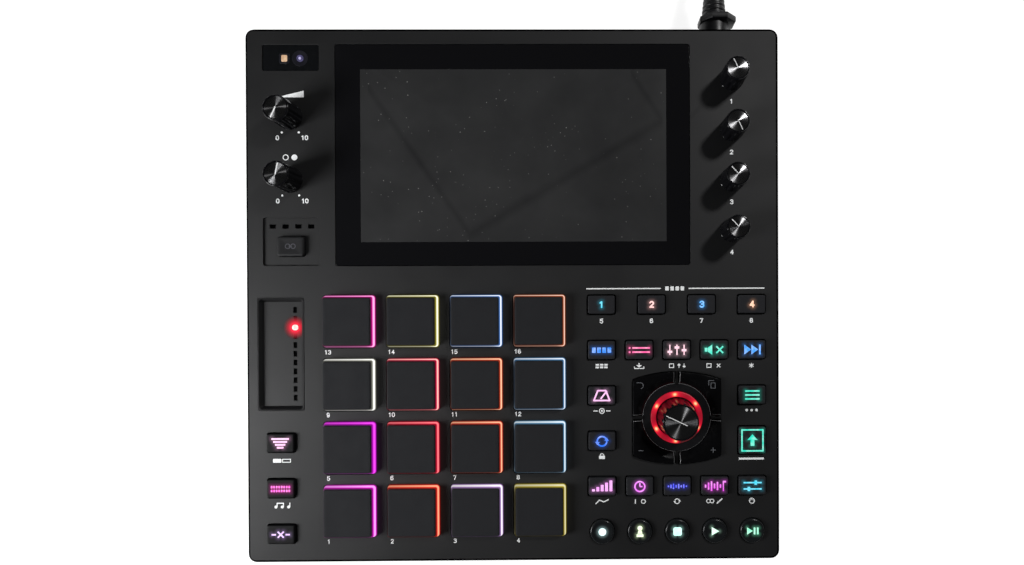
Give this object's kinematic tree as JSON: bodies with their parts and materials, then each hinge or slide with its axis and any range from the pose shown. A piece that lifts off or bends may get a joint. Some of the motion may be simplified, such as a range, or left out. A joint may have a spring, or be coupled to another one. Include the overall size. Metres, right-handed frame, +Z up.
{
  "type": "drum machine",
  "caption": "Square desktop drum machine: lit pads, touch screen, data dial with corner keys, level knobs, lit key rows, rear sockets and a coiled power lead.",
  "frame": {"origin": "middle of the footprint, at table level", "axes": "+X to the right of the player, +Y to the rear, where the sockets are, +Z up through the panel"},
  "size_m": [0.27, 0.4085, 0.054],
  "materials": {
    "case_plastic": "matte black with a fine grain",
    "cover_glass": "black-backed gloss glass",
    "display_panel": "dark screen, switched off",
    "circuit_board": "green solder mask",
    "strip_plastic": "matte black",
    "window_plastic": "smoked, glossy",
    "ring_plastic": "translucent, lit red",
    "control_metal": "plain",
    "socket_plastic": "black",
    "foot_rubber": "matte",
    "screw_steel": "dark zinc",
    "lead_rubber": "satin black",
    "adaptor_plastic": "satin black",
    "pad_rubber": "matte top on a lit, translucent skirt",
    "knob_plastic": "gloss side, spun dark metal cap",
    "dial_key_plastic": "satin",
    "round_key_plastic": "gloss, lit symbol",
    "key_rubber": "matte, lit symbol"
  },
  "bodies": {
    "case": {"top_case": "case_plastic", "bottom_cover": "case_plastic", "touch_glass": "cover_glass", "display_module": "display_panel", "control_board": "circuit_board", "touch_strip": "strip_plastic", "camera_window": "window_plastic", "light_ring": "ring_plastic", "rotary_controls": "control_metal", "rear_sockets": "socket_plastic", "rubber_feet": "foot_rubber", "case_screws": "screw_steel", "dc_plug": "lead_rubber", "dc_lead": "lead_rubber", "dc_lead_coil": "lead_rubber", "wall_adaptor": "adaptor_plastic"},
    "pad_01": {"pad_01": "pad_rubber"},
    "pad_02": {"pad_02": "pad_rubber"},
    "pad_03": {"pad_03": "pad_rubber"},
    "pad_04": {"pad_04": "pad_rubber"},
    "pad_05": {"pad_05": "pad_rubber"},
    "pad_06": {"pad_06": "pad_rubber"},
    "pad_07": {"pad_07": "pad_rubber"},
    "pad_08": {"pad_08": "pad_rubber"},
    "pad_09": {"pad_09": "pad_rubber"},
    "pad_10": {"pad_10": "pad_rubber"},
    "pad_11": {"pad_11": "pad_rubber"},
    "pad_12": {"pad_12": "pad_rubber"},
    "pad_13": {"pad_13": "pad_rubber"},
    "pad_14": {"pad_14": "pad_rubber"},
    "pad_15": {"pad_15": "pad_rubber"},
    "pad_16": {"pad_16": "pad_rubber"},
    "undo_key": {"undo_key": "dial_key_plastic"},
    "copy_key": {"copy_key": "dial_key_plastic"},
    "minus_key": {"minus_key": "dial_key_plastic"},
    "plus_key": {"plus_key": "dial_key_plastic"},
    "record_key": {"record_key": "round_key_plastic"},
    "overdub_key": {"overdub_key": "round_key_plastic"},
    "stop_key": {"stop_key": "round_key_plastic"},
    "play_key": {"play_key": "round_key_plastic"},
    "pause_key": {"pause_key": "round_key_plastic"},
    "link_key": {"link_key": "key_rubber"},
    "full_level_key": {"full_level_key": "key_rubber"},
    "levels_key": {"levels_key": "key_rubber"},
    "erase_key": {"erase_key": "key_rubber"},
    "tap_key": {"tap_key": "key_rubber"},
    "repeat_key": {"repeat_key": "key_rubber"},
    "menu_key": {"menu_key": "key_rubber"},
    "shift_key": {"shift_key": "key_rubber"},
    "bank_keys": {"bank_keys": "key_rubber"},
    "upper_keys": {"upper_keys": "key_rubber"},
    "lower_keys": {"lower_keys": "key_rubber"},
    "master_knob": {"master_knob": "knob_plastic"},
    "record_knob": {"record_knob": "knob_plastic"},
    "knob_1": {"knob_1": "knob_plastic"},
    "knob_2": {"knob_2": "knob_plastic"},
    "knob_3": {"knob_3": "knob_plastic"},
    "knob_4": {"knob_4": "knob_plastic"},
    "data_stem": {"data_stem": "control_metal"},
    "data_knob": {"data_knob": "knob_plastic"}
  },
  "joints": [
    {"name": "pad_01_press", "type": "slide", "parent": "case", "child": "pad_01", "axis": [0, 0, -1], "range_m": [0, 0.0008], "stiffness_N_per_m": 900, "springref_m": -0.0005},
    {"name": "pad_02_press", "type": "slide", "parent": "case", "child": "pad_02", "axis": [0, 0, -1], "range_m": [0, 0.0008], "stiffness_N_per_m": 900, "springref_m": -0.0005},
    {"name": "pad_03_press", "type": "slide", "parent": "case", "child": "pad_03", "axis": [0, 0, -1], "range_m": [0, 0.0008], "stiffness_N_per_m": 900, "springref_m": -0.0005},
    {"name": "pad_04_press", "type": "slide", "parent": "case", "child": "pad_04", "axis": [0, 0, -1], "range_m": [0, 0.0008], "stiffness_N_per_m": 900, "springref_m": -0.0005},
    {"name": "pad_05_press", "type": "slide", "parent": "case", "child": "pad_05", "axis": [0, 0, -1], "range_m": [0, 0.0008], "stiffness_N_per_m": 900, "springref_m": -0.0005},
    {"name": "pad_06_press", "type": "slide", "parent": "case", "child": "pad_06", "axis": [0, 0, -1], "range_m": [0, 0.0008], "stiffness_N_per_m": 900, "springref_m": -0.0005},
    {"name": "pad_07_press", "type": "slide", "parent": "case", "child": "pad_07", "axis": [0, 0, -1], "range_m": [0, 0.0008], "stiffness_N_per_m": 900, "springref_m": -0.0005},
    {"name": "pad_08_press", "type": "slide", "parent": "case", "child": "pad_08", "axis": [0, 0, -1], "range_m": [0, 0.0008], "stiffness_N_per_m": 900, "springref_m": -0.0005},
    {"name": "pad_09_press", "type": "slide", "parent": "case", "child": "pad_09", "axis": [0, 0, -1], "range_m": [0, 0.0008], "stiffness_N_per_m": 900, "springref_m": -0.0005},
    {"name": "pad_10_press", "type": "slide", "parent": "case", "child": "pad_10", "axis": [0, 0, -1], "range_m": [0, 0.0008], "stiffness_N_per_m": 900, "springref_m": -0.0005},
    {"name": "pad_11_press", "type": "slide", "parent": "case", "child": "pad_11", "axis": [0, 0, -1], "range_m": [0, 0.0008], "stiffness_N_per_m": 900, "springref_m": -0.0005},
    {"name": "pad_12_press", "type": "slide", "parent": "case", "child": "pad_12", "axis": [0, 0, -1], "range_m": [0, 0.0008], "stiffness_N_per_m": 900, "springref_m": -0.0005},
    {"name": "pad_13_press", "type": "slide", "parent": "case", "child": "pad_13", "axis": [0, 0, -1], "range_m": [0, 0.0008], "stiffness_N_per_m": 900, "springref_m": -0.0005},
    {"name": "pad_14_press", "type": "slide", "parent": "case", "child": "pad_14", "axis": [0, 0, -1], "range_m": [0, 0.0008], "stiffness_N_per_m": 900, "springref_m": -0.0005},
    {"name": "pad_15_press", "type": "slide", "parent": "case", "child": "pad_15", "axis": [0, 0, -1], "range_m": [0, 0.0008], "stiffness_N_per_m": 900, "springref_m": -0.0005},
    {"name": "pad_16_press", "type": "slide", "parent": "case", "child": "pad_16", "axis": [0, 0, -1], "range_m": [0, 0.0008], "stiffness_N_per_m": 900, "springref_m": -0.0005},
    {"name": "undo_key_press", "type": "slide", "parent": "case", "child": "undo_key", "axis": [0, 0, -1], "range_m": [0, 0.0008], "stiffness_N_per_m": 600, "springref_m": -0.0005},
    {"name": "copy_key_press", "type": "slide", "parent": "case", "child": "copy_key", "axis": [0, 0, -1], "range_m": [0, 0.0008], "stiffness_N_per_m": 600, "springref_m": -0.0005},
    {"name": "minus_key_press", "type": "slide", "parent": "case", "child": "minus_key", "axis": [0, 0, -1], "range_m": [0, 0.0008], "stiffness_N_per_m": 600, "springref_m": -0.0005},
    {"name": "plus_key_press", "type": "slide", "parent": "case", "child": "plus_key", "axis": [0, 0, -1], "range_m": [0, 0.0008], "stiffness_N_per_m": 600, "springref_m": -0.0005},
    {"name": "record_key_press", "type": "slide", "parent": "case", "child": "record_key", "axis": [0, 0, -1], "range_m": [0, 0.0008], "stiffness_N_per_m": 600, "springref_m": -0.0005},
    {"name": "overdub_key_press", "type": "slide", "parent": "case", "child": "overdub_key", "axis": [0, 0, -1], "range_m": [0, 0.0008], "stiffness_N_per_m": 600, "springref_m": -0.0005},
    {"name": "stop_key_press", "type": "slide", "parent": "case", "child": "stop_key", "axis": [0, 0, -1], "range_m": [0, 0.0008], "stiffness_N_per_m": 600, "springref_m": -0.0005},
    {"name": "play_key_press", "type": "slide", "parent": "case", "child": "play_key", "axis": [0, 0, -1], "range_m": [0, 0.0008], "stiffness_N_per_m": 600, "springref_m": -0.0005},
    {"name": "pause_key_press", "type": "slide", "parent": "case", "child": "pause_key", "axis": [0, 0, -1], "range_m": [0, 0.0008], "stiffness_N_per_m": 600, "springref_m": -0.0005},
    {"name": "link_key_press", "type": "slide", "parent": "case", "child": "link_key", "axis": [0, 0, -1], "range_m": [0, 0.0008], "stiffness_N_per_m": 600, "springref_m": -0.0005},
    {"name": "full_level_key_press", "type": "slide", "parent": "case", "child": "full_level_key", "axis": [0, 0, -1], "range_m": [0, 0.0008], "stiffness_N_per_m": 600, "springref_m": -0.0005},
    {"name": "levels_key_press", "type": "slide", "parent": "case", "child": "levels_key", "axis": [0, 0, -1], "range_m": [0, 0.0008], "stiffness_N_per_m": 600, "springref_m": -0.0005},
    {"name": "erase_key_press", "type": "slide", "parent": "case", "child": "erase_key", "axis": [0, 0, -1], "range_m": [0, 0.0008], "stiffness_N_per_m": 600, "springref_m": -0.0005},
    {"name": "tap_key_press", "type": "slide", "parent": "case", "child": "tap_key", "axis": [0, 0, -1], "range_m": [0, 0.0008], "stiffness_N_per_m": 600, "springref_m": -0.0005},
    {"name": "repeat_key_press", "type": "slide", "parent": "case", "child": "repeat_key", "axis": [0, 0, -1], "range_m": [0, 0.0008], "stiffness_N_per_m": 600, "springref_m": -0.0005},
    {"name": "menu_key_press", "type": "slide", "parent": "case", "child": "menu_key", "axis": [0, 0, -1], "range_m": [0, 0.0008], "stiffness_N_per_m": 600, "springref_m": -0.0005},
    {"name": "shift_key_press", "type": "slide", "parent": "case", "child": "shift_key", "axis": [0, 0, -1], "range_m": [0, 0.0008], "stiffness_N_per_m": 600, "springref_m": -0.0005},
    {"name": "bank_keys_press", "type": "slide", "parent": "case", "child": "bank_keys", "axis": [0, 0, -1], "range_m": [0, 0.0008], "stiffness_N_per_m": 600, "springref_m": -0.0005},
    {"name": "upper_keys_press", "type": "slide", "parent": "case", "child": "upper_keys", "axis": [0, 0, -1], "range_m": [0, 0.0008], "stiffness_N_per_m": 600, "springref_m": -0.0005},
    {"name": "lower_keys_press", "type": "slide", "parent": "case", "child": "lower_keys", "axis": [0, 0, -1], "range_m": [0, 0.0008], "stiffness_N_per_m": 600, "springref_m": -0.0005},
    {"name": "master_knob_turn", "type": "hinge", "parent": "case", "child": "master_knob", "pos_m": [-0.1122, 0.09028, 0.045], "axis": [0, 0, 1], "range_deg": [-300, 0]},
    {"name": "record_knob_turn", "type": "hinge", "parent": "case", "child": "record_knob", "pos_m": [-0.1122, 0.05857, 0.045], "axis": [0, 0, 1], "range_deg": [-137, 163]},
    {"name": "knob_1_turn", "type": "hinge", "parent": "case", "child": "knob_1", "pos_m": [0.111, 0.1093, 0.045], "axis": [0, 0, 1], "continuous": true},
    {"name": "knob_2_turn", "type": "hinge", "parent": "case", "child": "knob_2", "pos_m": [0.111, 0.0837, 0.045], "axis": [0, 0, 1], "continuous": true},
    {"name": "knob_3_turn", "type": "hinge", "parent": "case", "child": "knob_3", "pos_m": [0.111, 0.0581, 0.045], "axis": [0, 0, 1], "continuous": true},
    {"name": "knob_4_turn", "type": "hinge", "parent": "case", "child": "knob_4", "pos_m": [0.111, 0.0325, 0.045], "axis": [0, 0, 1], "continuous": true},
    {"name": "data_stem_press", "type": "slide", "parent": "case", "child": "data_stem", "axis": [0, 0, -1], "range_m": [0, 0.0005], "stiffness_N_per_m": 600, "springref_m": -0.0005},
    {"name": "data_knob_turn", "type": "hinge", "parent": "data_stem", "child": "data_knob", "pos_m": [0.08264, -0.0626, 0.045], "axis": [0, 0, 1], "continuous": true}
  ]
}
